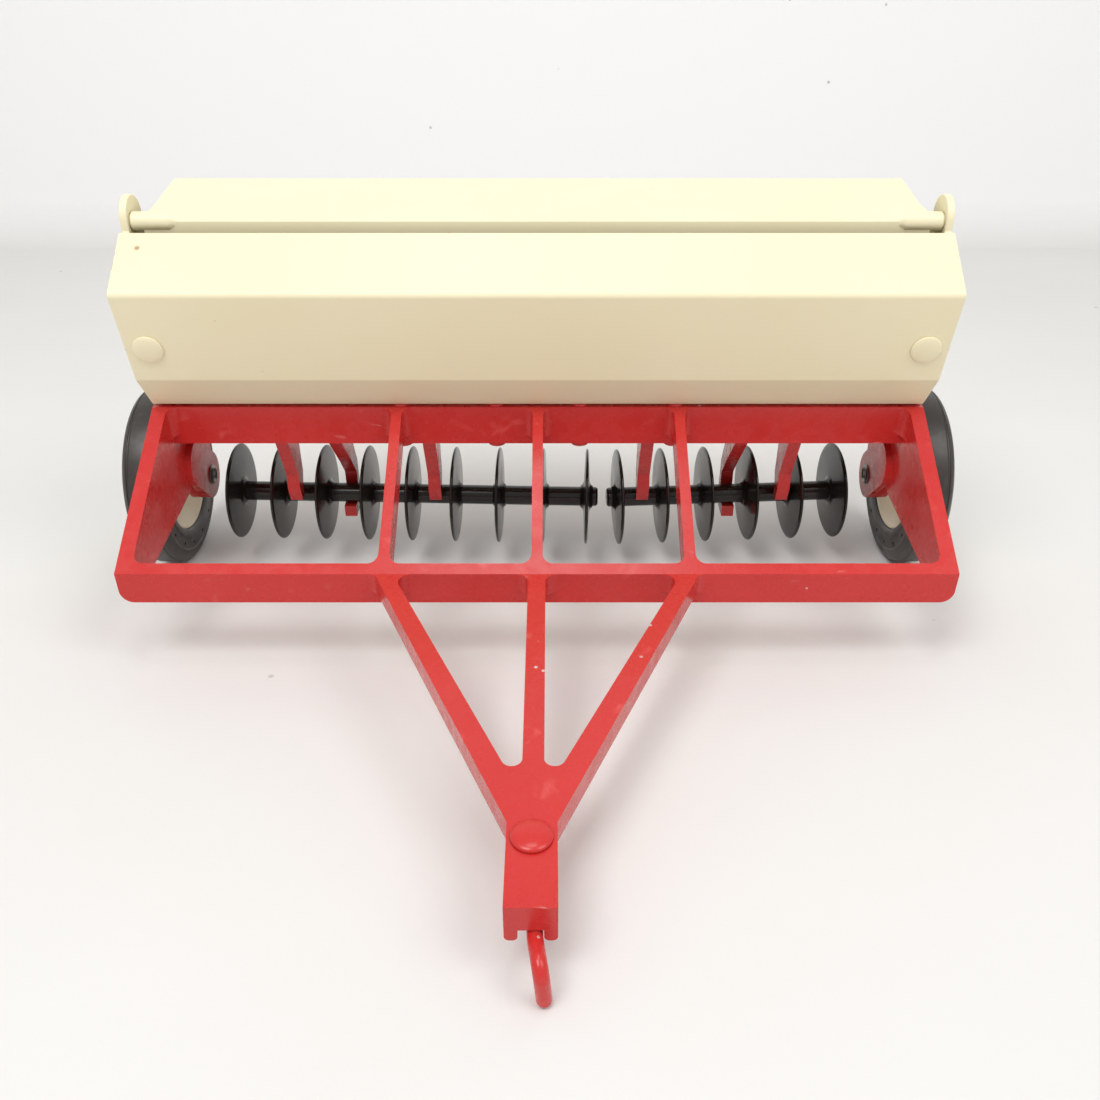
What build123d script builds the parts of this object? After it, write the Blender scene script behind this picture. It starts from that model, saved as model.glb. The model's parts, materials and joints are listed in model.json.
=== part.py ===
"""Pull-type seed drill, a die-cast farm toy of about 1/16 scale.

Millimetres, +X to the drill's right, +Y to its rear, +Z up. It stands on its two wheels and the tip of
its hitch hook. The origin is on the floor, on the centre plane, half way along the overall length.

The pieces are drawn in the drill's own towing frame, whose origin is on the wheel axle and whose plan
plane is parallel to the flat tongue. That frame leans forward by rest_lean, because the drill rests on
its hook. plan(), side() and across() give the sketch planes of the towing frame.
"""
from math import asin, atan2, copysign, cos, degrees, hypot, radians, sin, tan
import os

from build123d import *

# ---------------------------------------------------------------- driving dimensions
# clearances
paint_gap = 0.05          # between two pieces that are clamped or pressed together
running_gap = 0.06        # radial, of a pin that turns in a hole
side_gap = 0.35           # beside a piece that turns

# wheels and their axle rivets
wheel_r = 26.6
wheel_clear = 1.4         # from the arm to the tyre
tyre_width = 10.4
tyre_shoulder = 2.6       # width of the rounding from side wall to tread
rim_r = 16.6
rim_ring = 2.2
rim_width = 8.8
rim_web = 2.6
hub_r = 5.2
hub_recess = 2.8          # outer end of the hub inside the tyre's outer face
axle_r = 2.4
axle_head_r = 4.3
axle_head_rise = 1.7
axle_tail_r = 3.1
axle_tail_rise = 0.7

# cast frame
frame_width = 211.0
arm_wall = 3.9
bar_wall = 2.7            # front bar, across its top
front_bar_y = -64.0       # its front face
tongue_top = 6.8          # top face of the tongue above the axle
bar_depth = 8.7           # height of the front bar
rear_bar_y = -18.7        # front face of the rear bar
rear_bar_wall = 5.0
rear_bar_depth = 11.0
seat_height = 31.1        # hopper seat above the axle
seat_rear_y = 14.0
rail_wall = 2.8           # longitudinal bars
rail_depth = 8.3
rail_x = 38.6
bay_fillet = 2.6
frame_corner = 3.4        # rounding of the frame's lower outer corners
arm_low_front = -1.2      # lower edge of the arm at its front and beside the boss
arm_low_rear = 2.6
arm_low_rear_y = -12.0
boss_r = 7.0
boss_pad = 1.9            # the boss stands this much inside the arm
pad_y = -8.5              # upper end of the boss pad
pad_z = 8.5

# tongue and hitch
tongue_depth = 5.4
diagonal_root_x = 40.5    # outer edge of each diagonal at the front bar
diagonal_root = 4.5       # width of a diagonal along the front bar
crotch_y = -138.0         # where a diagonal's inner edge would meet the middle web
tongue_web = 4.3
block_width = 9.4
block_y = -144.7          # rear end of the hitch block
block_front_y = -163.6
block_depth = 8.7
crotch_fillet = 2.1
root_fillet = 3.2
outer_root_fillet = 3.0
channel_width = 4.6
channel_roof = 6.0        # metal above the channel
channel_rear_y = -145.6
flange_round = 1.0        # lower corners of the channel's two flanges
hitch_rivet_y = -148.3
hitch_rivet_r = 0.95
hitch_tail_r = 1.9
hitch_tail_rise = 0.8
hitch_head_r = 3.95
hitch_head_rise = 1.4
hook_rod_r = 1.45
hook_reach = 21.9         # from the rivet to the peg's middle
hook_kink_reach = 15.6    # the rod is bent a little to the right here, clear of the channel
hook_kink = 0.7           # sideways, at the top of the peg
hook_tip_kink = 1.3       # sideways, at the tip
hook_bend_r = 2.6
hook_tip_drop = 7.8       # from the rod's middle to the middle of the rounded tip
hook_eye_r = 2.1
hook_swing = 2.6          # the hook rests turned to the drill's right, in degrees

# hopper
sheet = 1.2
end_wall = 2.0
deck_y = -14.8            # rear edge of the sloping deck
deck_lap = 3.0            # the end plates reach this far behind the deck, under the lid
deck_rise = 46.3          # above the hopper seat, as are the heights below
brow_y = -30.5            # fold between deck and front face
brow_rise = 35.6
belly_y = -25.0           # fold between front face and lower face
belly_rise = 10.7
back_y = 17.6
back_top_rise = 48.4
back_fold_rise = 14.9
fold_r = 1.6              # outside radius of the sheet's folds
ear_r = 5.4
ear_y = -7.4
ear_rise = 48.5
ear_heel_y = -3.4         # where the end plate levels off behind its ear
ear_heel_rise = 46.1
front_rivet_inset = 5.9   # from the side of the frame to the rivet
front_rivet_part = 0.62   # share of the front face above the rivet
hopper_rivet_head_r = 3.95
hopper_rivet_head_rise = 1.0
hopper_rivet_r = 1.6
lug_width = 7.4
lug_depth = 4.4
lug_rise = 26.9
lug_foot_y = -14.3
rear_rail_depth = 4.0
floor_gap = 0.3           # from the floor to the lugs and the sheets

# lid
lid_side_gap = 3.2        # from an end plate of the hopper to the lid
lid_wall = 3.0
lid_pin_y = -9.6
lid_pin_rise = 47.8
lid_pin_r = 1.9
lid_boss_r = 2.4
lid_boss_length = 6.5     # of the round boss along the lid's front corners
lid_boss_fade = 5.0       # of its tapered end
lid_front_y = -11.3
lid_front_rise = 48.4     # upper front edge
lid_rear_y = 18.2
lid_rear_rise = 52.0      # upper rear edge
lid_lip_depth = 4.2       # of the lip along its front edge
lid_lip_wall = 3.0
lid_edge_round = 0.4

# disc gangs
disc_r = 14.4
disc_rim = 1.0
disc_hub = 2.4
disc_pitch = 13.2
gang_shaft_r = 2.9
gang_end = 2.2            # shaft end beyond its last disc
gang_y = -3.1
gang_z = -4.9
left_gang_x = -38.4       # middle disc of the left gang
left_gang_count = 9
left_gang_skew = 2.0      # outer end of the gang lies back, in degrees
right_gang_shift = 2.2    # the outer front finger stands this much off a disc gap's middle, at the right
right_gang_count = 6
right_gang_skew = 3.7

# fingers that hold the gangs
finger_width = 3.6
finger_wall = 2.9
finger_gap = 0.3          # from a finger to the shaft
front_finger_gaps = ((0.5, 1.1), (-2.5, -0.7))  # disc pitches from the left gang's middle, and a shift
rear_finger_gaps = ((-1.5, 0.6),)
front_toe_rise = 2.0      # toe of a front finger above the shaft's middle
rear_toe = 3.5            # thickness of a rear finger's toe
finger_neck = 5.0         # a finger's depth above the shaft
stub_y = -15.9
stub_r = 2.4
stub_xs = (11.6, 37.7)
stub_reach = 1.1          # below the rear bar
stub_rise = 0.5           # above it, where the hopper stands on the stubs

# ---------------------------------------------------------------- stance
half_width = frame_width / 2
deck_z = seat_height + deck_rise
brow_z = seat_height + brow_rise
belly_z = seat_height + belly_rise
back_top_z = seat_height + back_top_rise
back_fold_z = seat_height + back_fold_rise
end_top_z = seat_height + ear_heel_rise
ear_z = seat_height + ear_rise
lug_top = seat_height + lug_rise
lid_pin_z = seat_height + lid_pin_rise
lid_front_z = seat_height + lid_front_rise
lid_rear_z = seat_height + lid_rear_rise
front_finger_xs = [-(left_gang_x + gap * disc_pitch + shift) for gap, shift in front_finger_gaps]
rear_finger_xs = [-(left_gang_x + gap * disc_pitch + shift) for gap, shift in rear_finger_gaps]
right_gang_x = front_finger_xs[-1] - disc_pitch - right_gang_shift
front_rivet_x = half_width - front_rivet_inset
lid_width = 2 * (half_width - end_wall - lid_side_gap)
hook_z = tongue_top - channel_roof - side_gap - hook_rod_r
tip_z = hook_z - hook_tip_drop
swing = radians(hook_swing)
tip_y = hitch_rivet_y - hook_reach * cos(swing)
lean = asin((wheel_r - hook_rod_r) / hypot(tip_y, tip_z)) - atan2(-tip_z, -tip_y)
rest_lean = degrees(lean)
# the hook's bend is the foremost point and the tyres are the rearmost
bend_y = hitch_rivet_y - (hook_reach - hook_bend_r) * cos(swing)
bend_z = hook_z - hook_bend_r
bend_pull = hypot(cos(lean) * cos(swing), sin(lean))
front_reach = -cos(lean) * bend_y + sin(lean) * bend_z + hook_bend_r * bend_pull + hook_rod_r
axle_y = (front_reach - wheel_r) / 2

towing = Plane(origin=(0, axle_y, wheel_r), x_dir=(1, 0, 0), z_dir=(0, -sin(lean), cos(lean)))


def at(x, y, z):
    """A point of the towing frame, in the part's frame."""
    return towing.from_local_coords(Vector(x, y, z))


def plan(z):
    """Plane parallel to the tongue: x to the right, y to the rear."""
    return Plane(origin=at(0, 0, z), x_dir=towing.x_dir, z_dir=towing.z_dir)


def side(x):
    """Plane facing right: x to the rear, y up."""
    return Plane(origin=at(x, 0, 0), x_dir=towing.y_dir, z_dir=towing.x_dir)


def across(y):
    """Plane facing the front: x to the right, y up."""
    return Plane(origin=at(0, y, 0), x_dir=towing.x_dir, z_dir=-towing.y_dir)


def on_side_line(start, end, share):
    """The point at this share of a line between two side-view points."""
    return (start[0] + share * (end[0] - start[0]), start[1] + share * (end[1] - start[1]))


# ---------------------------------------------------------------- lines that several pieces share
bar_bottom = tongue_top - bar_depth
tongue_bottom = tongue_top - tongue_depth
block_bottom = tongue_top - block_depth
top_slope = (seat_height - tongue_top) / (rear_bar_y - front_bar_y)
rear_bar_bottom = seat_height - rear_bar_depth
rear_bar_back = rear_bar_y + rear_bar_wall
bar_back = front_bar_y + bar_wall
arm_inner_x = half_width - arm_wall
boss_inner_x = arm_inner_x - boss_pad
end_inner_x = half_width - end_wall
tyre_inner_x = half_width + wheel_clear
tyre_outer_x = tyre_inner_x + tyre_width
wheel_middle_x = (tyre_inner_x + tyre_outer_x) / 2
hub_inner_x = half_width + side_gap
hub_outer_x = tyre_outer_x - hub_recess

# side view of the hopper: x is the distance behind the axle, y the height above it
hopper_bottom = seat_height + stub_rise + paint_gap
foot = (rear_bar_y + 1.0, hopper_bottom)
belly = (belly_y, belly_z)
brow = (brow_y, brow_z)
deck_edge = (deck_y, deck_z)
back_foot = (seat_rear_y - 4.0, hopper_bottom)
back_fold = (back_y, back_fold_z)
back_top = (back_y, back_top_z)
rivet_yz = on_side_line(brow, belly, front_rivet_part)
face_angle = atan2(belly_z - brow_z, belly_y - brow_y)
face_out = (sin(face_angle), -cos(face_angle))


def rivet_plane(sign):
    """Plane on the hopper's front face, facing out, at the left (-1) or right (1) rivet."""
    outward = towing.y_dir * face_out[0] + towing.z_dir * face_out[1]
    return Plane(origin=at(sign * front_rivet_x, *rivet_yz), x_dir=towing.x_dir, z_dir=outward)


def gang_plane(middle_x, skew):
    """Plane across a gang's shaft at its middle, with its normal along the shaft to the right."""
    turn = radians(skew)
    along = towing.x_dir * cos(turn) + towing.y_dir * sin(turn)
    return Plane(origin=at(middle_x, gang_y, gang_z), x_dir=towing.z_dir, z_dir=along)


left_gang = gang_plane(left_gang_x, -left_gang_skew)
right_gang = gang_plane(right_gang_x, right_gang_skew)


def shaft_y(x):
    """Where a gang's shaft lies behind the axle, at this distance from the centre plane."""
    if x < 0:
        return gang_y - (x - left_gang_x) * tan(radians(left_gang_skew))
    return gang_y + (x - right_gang_x) * tan(radians(right_gang_skew))


pieces = {}               # every node of the drill, by name


# ---------------------------------------------------------------- cast frame
left_bays = [(-arm_inner_x, -rail_x - rail_wall / 2), (-rail_x + rail_wall / 2, -rail_wall / 2)]
bays = left_bays + [(-right, -left) for left, right in left_bays]
bay_middle_y = (bar_back + rear_bar_y) / 2
bay_length = rear_bar_y - bar_back

diagonal_inner_x = diagonal_root_x - diagonal_root

# the hopper is riveted to two cast lugs whose faces lie against the front sheet
lug_lean = (belly_y - brow_y) / (belly_z - brow_z)


def lug_y(z):
    """Front face of the lugs at this height."""
    against = (rivet_yz[0] - face_out[0] * (sheet + paint_gap), rivet_yz[1] - face_out[1] * (sheet + paint_gap))
    return against[0] + lug_lean * (z - against[1])


# side views of the fingers that hold the gangs
front_toe_back = min(shaft_y(sign * x) for x in front_finger_xs for sign in (-1, 1)) - gang_shaft_r - finger_gap
front_toe_front = front_toe_back - finger_wall
front_finger_outline = [
    (rear_bar_y + 0.8, rear_bar_bottom + 1),
    (front_toe_front - 0.4, gang_z + 11),
    (front_toe_front - 1.0, gang_z + front_toe_rise + 4.6),
    (front_toe_front + 0.4, gang_z + front_toe_rise),
    (front_toe_back, gang_z + front_toe_rise),
    (front_toe_back, gang_z + gang_shaft_r + 2),
    (front_toe_back + 2.2, gang_z + gang_shaft_r + 6.5),
    (front_toe_back + 2.2, gang_z + 19),
    (rear_bar_back, rear_bar_bottom + 1),
]
rear_toe_back = max(shaft_y(sign * x) for x in rear_finger_xs for sign in (-1, 1)) + gang_shaft_r + 2 * finger_gap
rear_toe_top = gang_z - gang_shaft_r - finger_gap
rear_toe_front = gang_y - gang_shaft_r + 0.6
rear_finger_outline = [
    (rear_bar_y + 1.2, rear_bar_bottom + 1),
    (rear_bar_back - 0.5, rear_bar_bottom + 1),
    (rear_toe_back - 1.0, gang_z + gang_shaft_r + 13.5),
    (rear_toe_back + finger_wall, gang_z + gang_shaft_r + 5),
    (rear_toe_back + finger_wall, rear_toe_top),
    (rear_toe_back, rear_toe_top - rear_toe),
    (rear_toe_front, rear_toe_top - rear_toe),
    (rear_toe_front, rear_toe_top),
    (gang_y + 2.6, rear_toe_top),
    (rear_toe_back, rear_toe_top + 1.2),
    (rear_toe_back, gang_z + gang_shaft_r + 2.5),
    (rear_toe_back - finger_neck, gang_z + gang_shaft_r + 8.5),
]

with BuildPart() as frame_casting:
    # ladder of bars with one flat, sloping top
    with BuildSketch(plan(bar_bottom - 1)):
        with Locations((0, (front_bar_y + rear_bar_back) / 2)):
            Rectangle(frame_width, rear_bar_back - front_bar_y)
        for left, right in bays:
            with Locations(((left + right) / 2, bay_middle_y)):
                RectangleRounded(right - left, bay_length, bay_fillet, mode=Mode.SUBTRACT)
    extrude(amount=seat_height - bar_bottom + 2)
    with BuildSketch(side(-half_width)):
        with BuildLine():
            Polyline(
                (front_bar_y, bar_bottom),
                (front_bar_y, tongue_top),
                (rear_bar_y, seat_height),
                (rear_bar_back, seat_height),
                (rear_bar_back, rear_bar_bottom),
                (rear_bar_y, rear_bar_bottom),
                (rear_bar_y, seat_height - rail_depth),
                (bar_back, tongue_top + bar_wall * top_slope - rail_depth),
                (bar_back, bar_bottom),
                close=True,
            )
        make_face()
    extrude(amount=frame_width, mode=Mode.INTERSECT)

    # side arms, deep at the rear, with the round boss of the axle
    for arm_x in (-half_width, arm_inner_x):
        with BuildSketch(side(arm_x)):
            with BuildLine():
                Polyline(
                    (front_bar_y, bar_bottom),
                    (front_bar_y, tongue_top),
                    (rear_bar_y, seat_height),
                    (seat_rear_y, seat_height),
                    (boss_r, 0),
                    (0, 0),
                    (arm_low_rear_y, arm_low_rear),
                    (bar_back, arm_low_front),
                    (bar_back, bar_bottom),
                    close=True,
                )
            make_face()
            Circle(boss_r)
        extrude(amount=arm_wall)
    # lower outer corners, rounded along the front bar and the front of the arms
    for corner_x in (-half_width, half_width - frame_corner):
        with BuildSketch(across(front_bar_y)):
            with Locations((corner_x + frame_corner / 2, bar_bottom + frame_corner / 2)):
                Rectangle(frame_corner, frame_corner)
            with Locations((copysign(half_width - frame_corner, corner_x), bar_bottom + frame_corner)):
                Circle(frame_corner, mode=Mode.SUBTRACT)
        extrude(amount=front_bar_y - arm_low_rear_y, mode=Mode.SUBTRACT)
    for pad_x in (-arm_inner_x, boss_inner_x):
        with BuildSketch(side(pad_x)):
            with Locations((pad_y / 2, pad_z / 2)):
                SlotCenterToCenter(hypot(pad_y, pad_z), 2 * boss_r, rotation=degrees(atan2(pad_z, pad_y)))
        extrude(amount=boss_pad)

    # rear rail under the back of the hopper
    with BuildSketch(plan(seat_height + stub_rise - rear_rail_depth)):
        with Locations((0, seat_rear_y - rear_bar_wall / 2)):
            Rectangle(frame_width - arm_wall, rear_bar_wall)
    extrude(amount=rear_rail_depth)

    # bridges that carry the lugs from the rear bar
    for sign in (-1, 1):
        with BuildSketch(plan(seat_height - rear_rail_depth)):
            with Locations((sign * front_rivet_x, (rear_bar_y + seat_rear_y) / 2)):
                Rectangle(lug_width, seat_rear_y - rear_bar_y)
        extrude(amount=rear_rail_depth)

    # lugs inside the hopper's ends
    for sign in (-1, 1):
        with BuildSketch(side(sign * front_rivet_x - lug_width / 2)):
            with BuildLine():
                Polyline(
                    (lug_foot_y, seat_height - 1),
                    (lug_y(belly_z + 2), belly_z + 2),
                    (lug_y(lug_top), lug_top),
                    (lug_y(lug_top) + lug_depth, lug_top),
                    (lug_y(belly_z + 2) + lug_depth, belly_z + 2),
                    (lug_foot_y + lug_depth, seat_height - 1),
                    close=True,
                )
            make_face()
        extrude(amount=lug_width)
        with BuildSketch(rivet_plane(sign)):
            Circle(hopper_rivet_r + paint_gap)
        extrude(amount=-3 * lug_depth, mode=Mode.SUBTRACT)

    # tongue: two diagonals and a middle web running into the hitch block
    with BuildSketch(plan(tongue_bottom)):
        with BuildLine():
            Polyline(
                (-half_width + frame_corner, bar_back),
                (-half_width + frame_corner, front_bar_y),
                (-diagonal_root_x, front_bar_y),
                (-block_width / 2, block_y),
                (block_width / 2, block_y),
                (diagonal_root_x, front_bar_y),
                (half_width - frame_corner, front_bar_y),
                (half_width - frame_corner, bar_back),
                close=True,
            )
        make_face()
        roots = [v for v in vertices() if abs(abs(v.X) - diagonal_root_x) < 0.1]
        fillet(roots, outer_root_fillet)
        for sign in (-1, 1):
            with BuildLine():
                FilletPolyline(
                    (sign * tongue_web / 2, front_bar_y),
                    (sign * diagonal_inner_x, front_bar_y),
                    (sign * tongue_web / 2, crotch_y),
                    radius=[root_fillet, root_fillet, crotch_fillet],
                    close=True,
                )
            make_face(mode=Mode.SUBTRACT)
    extrude(amount=tongue_depth)

    # hitch block, its channel for the hook, open below and at the front, and the rivet hole
    with BuildSketch(plan(block_bottom)):
        with Locations((0, (block_y + block_front_y) / 2)):
            Rectangle(block_width, block_y - block_front_y)
    extrude(amount=block_depth)
    with BuildSketch(plan(block_bottom - 1)):
        with Locations((0, (channel_rear_y + block_front_y - 2) / 2)):
            Rectangle(channel_width, channel_rear_y - block_front_y + 2)
    extrude(amount=block_depth + 1 - channel_roof, mode=Mode.SUBTRACT)
    with BuildSketch(plan(block_bottom)):
        with Locations((0, hitch_rivet_y)):
            Circle(hitch_rivet_r + paint_gap)
    extrude(amount=block_depth + 1, mode=Mode.SUBTRACT)

    # axle holes
    with BuildSketch(side(-half_width - 1)):
        Circle(axle_r + paint_gap)
    extrude(amount=frame_width + 2, mode=Mode.SUBTRACT)
    flange_edges = [
        edge
        for edge in frame_casting.edges().filter_by(Axis((0, 0, 0), towing.y_dir))
        if abs(towing.to_local_coords(edge.center()).Z - block_bottom) < 0.1
        and towing.to_local_coords(edge.center()).Y < block_y
    ]
    fillet(flange_edges, flange_round)

    # stubs that show above and below the rear bar
    with BuildSketch(plan(rear_bar_bottom - stub_reach)):
        with Locations(*[(sign * x, stub_y) for x in stub_xs for sign in (-1, 1)]):
            Circle(stub_r)
    extrude(amount=rear_bar_depth + stub_reach + stub_rise)

    # fingers that hang from the rear bar and hold the gangs
    for x in front_finger_xs:
        for sign in (-1, 1):
            with BuildSketch(side(sign * x - finger_width / 2)):
                Polygon(*front_finger_outline, align=None)
            extrude(amount=finger_width)
    for x in rear_finger_xs:
        for sign in (-1, 1):
            with BuildSketch(side(sign * x - finger_width / 2)):
                Polygon(*rear_finger_outline, align=None)
            extrude(amount=finger_width)
pieces["frame_casting"] = frame_casting


# ---------------------------------------------------------------- hopper
def folded_sheet(outline, rivets=(), corner_drop=0.0):
    """A sheet bent along a side-view line, as wide as the hopper, with rivet holes or lowered corners."""
    with BuildPart() as folded:
        with BuildSketch(side(-half_width)):
            with BuildLine():
                FilletPolyline(*outline, radius=fold_r)
                offset(amount=sheet, side=Side.LEFT, closed=True)
            make_face()
        extrude(amount=frame_width)
        for sign in rivets:
            with BuildSketch(rivet_plane(sign)):
                Circle(hopper_rivet_r + paint_gap)
            extrude(amount=-2 * sheet, mode=Mode.SUBTRACT)
        if corner_drop:
            top_y, top_z = outline[-1]
            corner_width = end_wall + lid_side_gap
            with BuildSketch(plan(top_z - corner_drop)):
                for sign in (-1, 1):
                    with Locations((sign * (half_width - corner_width / 2), top_y)):
                        Rectangle(corner_width, 4 * sheet)
            extrude(amount=corner_drop + sheet, mode=Mode.SUBTRACT)
    return folded


hopper_front = folded_sheet([deck_edge, brow, belly, foot], rivets=(-1, 1))
pieces["hopper_front"] = hopper_front

hopper_back = folded_sheet([back_foot, back_fold, back_top], corner_drop=back_top_z - end_top_z)
pieces["hopper_back"] = hopper_back

# the floor lies on the stubs and the rear rail, between the lugs
belly_run = hypot(foot[0] - belly_y, belly_z - foot[1])
floor_front_y = foot[0] + sheet * belly_run / (belly_z - foot[1]) + floor_gap
back_run = hypot(back_y - back_foot[0], back_fold_z - back_foot[1])
floor_back_y = back_foot[0] - sheet * back_run / (back_fold_z - back_foot[1]) - floor_gap
floor_half_width = front_rivet_x - lug_width / 2 - floor_gap
with BuildPart() as hopper_floor:
    with BuildSketch(plan(hopper_bottom)):
        with Locations((0, (floor_front_y + floor_back_y) / 2)):
            Rectangle(2 * floor_half_width, floor_back_y - floor_front_y)
    extrude(amount=sheet)
pieces["hopper_floor"] = hopper_floor


# the end plates lie inside the sheets, level with them below
end_inset = sheet + 2 * paint_gap
front_foot_run = (foot[0] - belly_y) / (belly_z - foot[1])
back_foot_run = (back_y - back_foot[0]) / (back_fold_z - back_foot[1])
end_outline = [
    (foot[0] + end_inset * front_foot_run, foot[1] - end_inset),
    belly,
    brow,
    (deck_y + deck_lap, deck_z + deck_lap * (deck_z - brow_z) / (deck_y - brow_y)),
    (ear_heel_y, end_top_z + end_inset),
    (back_y, end_top_z + end_inset),
    back_fold,
    (back_foot[0] - end_inset * back_foot_run, back_foot[1] - end_inset),
]


def hopper_end(inner_x, outer_x):
    """An end plate of the hopper, with the ear that carries a pin of the lid."""
    with BuildPart() as plate:
        with BuildSketch(side(inner_x)):
            Polygon(*end_outline, align=None)
            offset(amount=-end_inset, kind=Kind.INTERSECTION)
            with Locations((ear_y, ear_z)):
                Circle(ear_r)
            with Locations((ear_y, (ear_z + deck_z - sheet) / 2)):
                Rectangle(2 * ear_r, ear_z - deck_z + sheet)
            with Locations((lid_pin_y, lid_pin_z)):
                Circle(lid_pin_r + running_gap, mode=Mode.SUBTRACT)
        extrude(amount=outer_x - inner_x)
    return plate


hopper_end_left = hopper_end(-half_width, -end_inner_x)
pieces["hopper_end_left"] = hopper_end_left
hopper_end_right = hopper_end(end_inner_x, half_width)
pieces["hopper_end_right"] = hopper_end_right


def hopper_rivet(sign):
    """A domed rivet through the front sheet and the lug behind it."""
    with BuildPart() as rivet:
        with BuildSketch(rivet_plane(sign)):
            Circle(hopper_rivet_r)
        extrude(amount=-(sheet + lug_depth))
        with BuildSketch(rivet_plane(sign).offset(paint_gap)):
            Circle(hopper_rivet_head_r)
        extrude(amount=hopper_rivet_head_rise, taper=24)
        with BuildSketch(rivet_plane(sign)):
            Circle(hopper_rivet_r)
        extrude(amount=paint_gap)
    return rivet


hopper_rivet_left = hopper_rivet(-1)
pieces["hopper_rivet_left"] = hopper_rivet_left
hopper_rivet_right = hopper_rivet(1)
pieces["hopper_rivet_right"] = hopper_rivet_right


# ---------------------------------------------------------------- lid
lid_tilt = atan2(lid_rear_z - lid_front_z, lid_rear_y - lid_front_y)
lid_down = (lid_wall * sin(lid_tilt), -lid_wall * cos(lid_tilt))
lid_outline = [
    (lid_front_y, lid_front_z),
    (lid_rear_y, lid_rear_z),
    (lid_rear_y + lid_down[0], lid_rear_z + lid_down[1]),
    (lid_front_y + lid_lip_wall, lid_front_z + lid_lip_wall * tan(lid_tilt) - lid_wall / cos(lid_tilt)),
    (lid_front_y + lid_lip_wall, lid_front_z - lid_lip_depth),
    (lid_front_y, lid_front_z - lid_lip_depth),
]
with BuildPart() as lid:
    with BuildSketch(side(-lid_width / 2)):
        Polygon(*lid_outline, align=None)
    extrude(amount=lid_width)
    fillet(lid.edges().filter_by(Axis.X), lid_edge_round)
    for start in (-half_width + paint_gap, lid_width / 2 - lid_boss_length):
        with BuildSketch(side(start)):
            with Locations((lid_pin_y, lid_pin_z)):
                Circle(lid_pin_r)
        extrude(amount=half_width - paint_gap - lid_width / 2 + lid_boss_length)
    # each boss starts beside its ear and tapers off into the lid
    boss_start = end_inner_x - side_gap
    boss_end = lid_width / 2 - lid_boss_length
    boss_taper = degrees(atan2(lid_boss_r * 0.7, lid_boss_fade))
    for sign in (-1, 1):
        with BuildSketch(side(sign * boss_start)):
            with Locations((lid_pin_y, lid_pin_z)):
                Circle(lid_boss_r)
        extrude(amount=sign * (boss_end - boss_start))
        with BuildSketch(side(sign * boss_end)):
            with Locations((lid_pin_y, lid_pin_z)):
                Circle(lid_boss_r)
        extrude(amount=-sign * lid_boss_fade, taper=boss_taper)
pieces["lid"] = lid


# ---------------------------------------------------------------- wheels
axle_line = Axis(at(0, 0, 0), towing.x_dir)


def wheel_section(sign):
    """Half section plane of a wheel: x along the axle, outwards, y the radius."""
    return Plane(origin=at(0, 0, 0), x_dir=towing.x_dir * sign, z_dir=towing.y_dir * -sign)


def make_tyre(sign):
    """A rubber tyre with a rounded tread."""
    with BuildPart() as tyre:
        with BuildSketch(wheel_section(sign)):
            with Locations((wheel_middle_x, (wheel_r + rim_r + paint_gap) / 2)):
                Rectangle(tyre_width, wheel_r - rim_r - paint_gap)
            fillet(vertices().group_by(Axis.Y)[-1], tyre_shoulder)
        revolve(axis=axle_line)
    return tyre


def make_rim(sign):
    """A moulded rim: ring, web and hub."""
    with BuildPart() as rim:
        with BuildSketch(wheel_section(sign)):
            with Locations((wheel_middle_x, rim_r - rim_ring / 2)):
                Rectangle(rim_width, rim_ring)
            with Locations((wheel_middle_x, (rim_r + axle_r) / 2)):
                Rectangle(rim_web, rim_r - axle_r - 2)
            with Locations(((hub_inner_x + hub_outer_x) / 2, (hub_r + axle_r + running_gap) / 2)):
                Rectangle(hub_outer_x - hub_inner_x, hub_r - axle_r - running_gap)
        revolve(axis=axle_line)
    return rim


def make_axle(sign):
    """A rivet that is the wheel's axle, headed outside the hub and peened inside the boss."""
    head_x = hub_outer_x + side_gap
    tail_x = boss_inner_x - paint_gap
    with BuildPart() as axle:
        with BuildSketch(wheel_section(sign)):
            with Locations(((tail_x + head_x) / 2, axle_r / 2)):
                Rectangle(head_x - tail_x, axle_r)
            with Locations((head_x + axle_head_rise / 2, axle_head_r / 2)):
                Rectangle(axle_head_rise, axle_head_r)
            with Locations((tail_x - axle_tail_rise / 2, axle_tail_r / 2)):
                Rectangle(axle_tail_rise, axle_tail_r)
            fillet(vertices().group_by(Axis.X)[-1].sort_by(Axis.Y)[-1:], axle_head_rise * 0.7)
        revolve(axis=axle_line)
    return axle


for name, sign in (("left", -1), ("right", 1)):
    pieces[f"tyre_{name}"] = make_tyre(sign)
    pieces[f"rim_{name}"] = make_rim(sign)
    pieces[f"axle_{name}"] = make_axle(sign)


# ---------------------------------------------------------------- disc gangs
def make_shaft(gang, count):
    """The round shaft of a gang."""
    length = (count - 1) * disc_pitch + disc_hub + 2 * gang_end
    with BuildPart() as shaft:
        with BuildSketch(gang.offset(-length / 2)):
            Circle(gang_shaft_r)
        extrude(amount=length)
    return shaft


def make_disc(gang, along):
    """A disc that is thicker at its middle, pressed on the shaft."""
    middle = gang.offset(along)
    section = Plane(origin=middle.origin, x_dir=middle.z_dir, z_dir=middle.y_dir)
    with BuildPart() as disc:
        with BuildSketch(section):
            Polygon(
                (-disc_hub / 2, gang_shaft_r + paint_gap),
                (-disc_rim / 2, disc_r),
                (disc_rim / 2, disc_r),
                (disc_hub / 2, gang_shaft_r + paint_gap),
                align=None,
            )
        revolve(axis=Axis(middle.origin, middle.z_dir))
    return disc


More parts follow.
